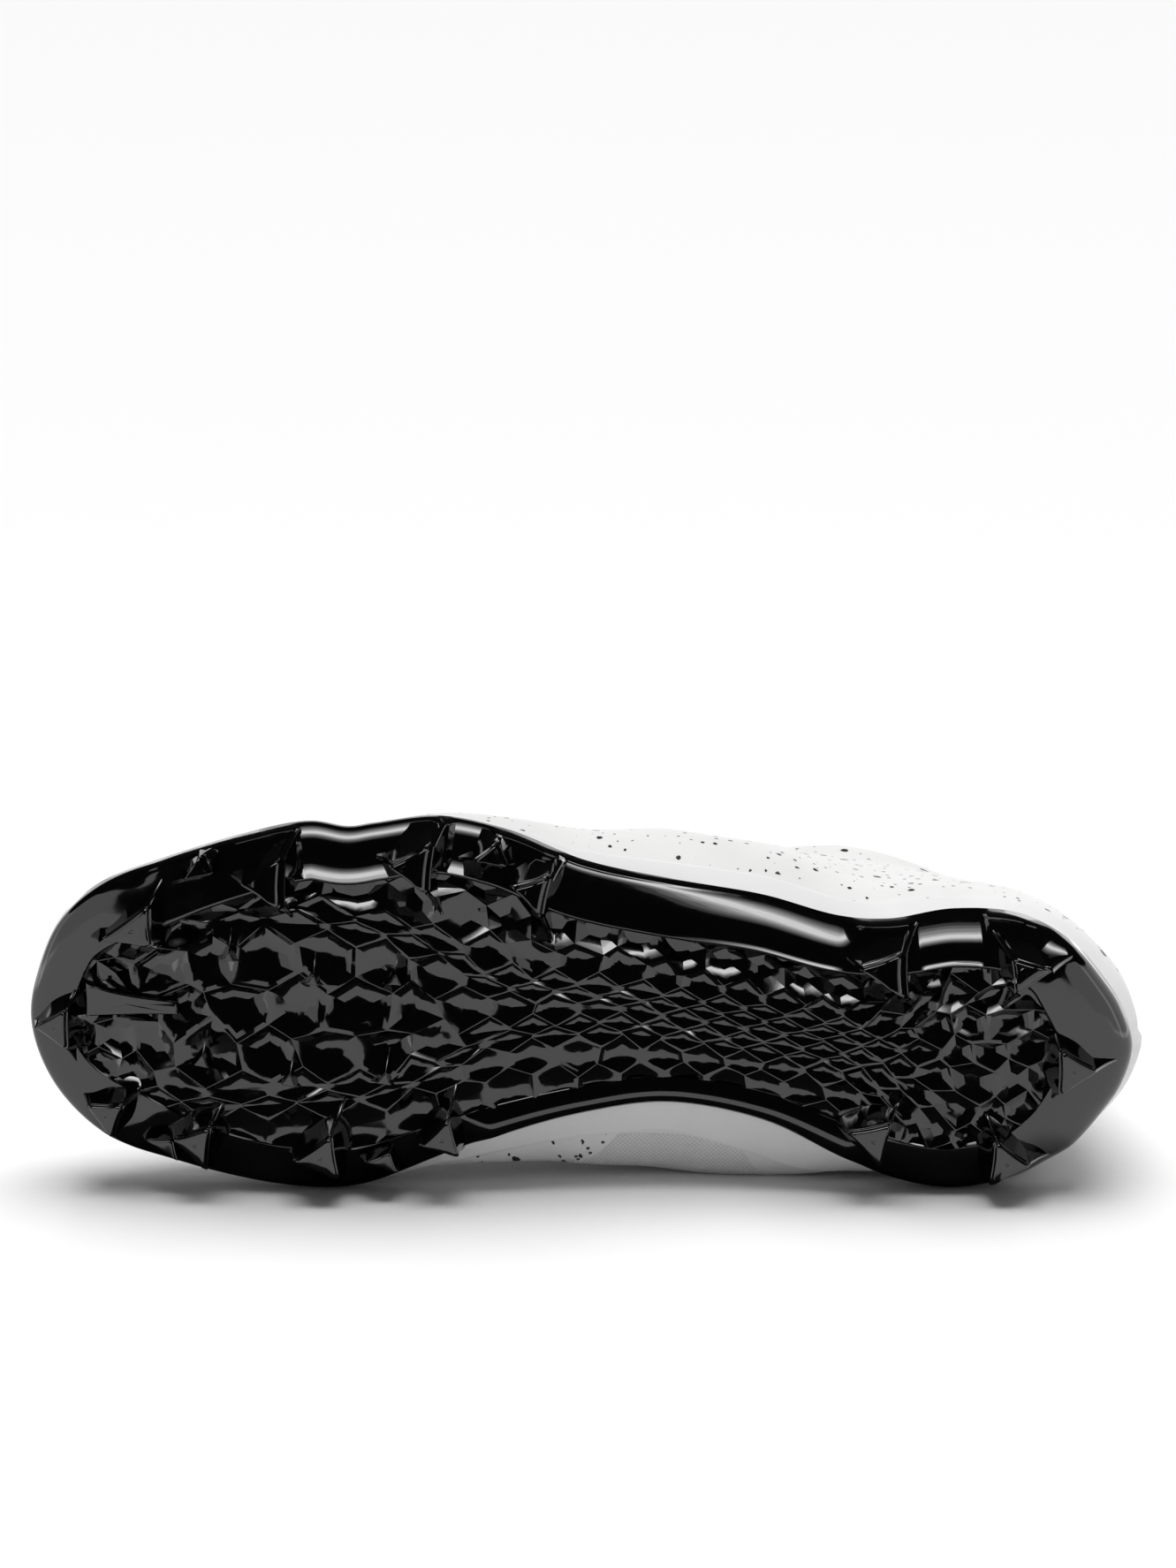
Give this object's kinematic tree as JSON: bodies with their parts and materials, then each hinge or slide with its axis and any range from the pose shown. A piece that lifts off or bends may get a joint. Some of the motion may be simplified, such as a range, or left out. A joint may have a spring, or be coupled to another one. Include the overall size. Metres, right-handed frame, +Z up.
{
  "type": "football cleat",
  "caption": "Left football cleat lying on its medial side: moulded black plate with three-cornered studs, hollow white mid-cut upper, tongue, insole and laces.",
  "frame": {"origin": "middle of the lying shoe's box, on the floor", "axes": "+X from toe to heel, +Y from the studs to the collar, +Z up from the medial side to the lateral side"},
  "size_m": [0.295, 0.1332, 0.1002],
  "materials": {
    "black_plate": "glossy moulded black plastic",
    "white_upper": "matt white coated textile with small black flecks",
    "grey_insole": "brushed knit on foam",
    "white_tongue": "soft mesh on foam",
    "white_lace": "flat woven lace"
  },
  "bodies": {
    "root": {"outsole": "black_plate", "upper": "white_upper", "insole": "grey_insole", "tongue": "white_tongue", "laces": "white_lace"}
  },
  "joints": []
}
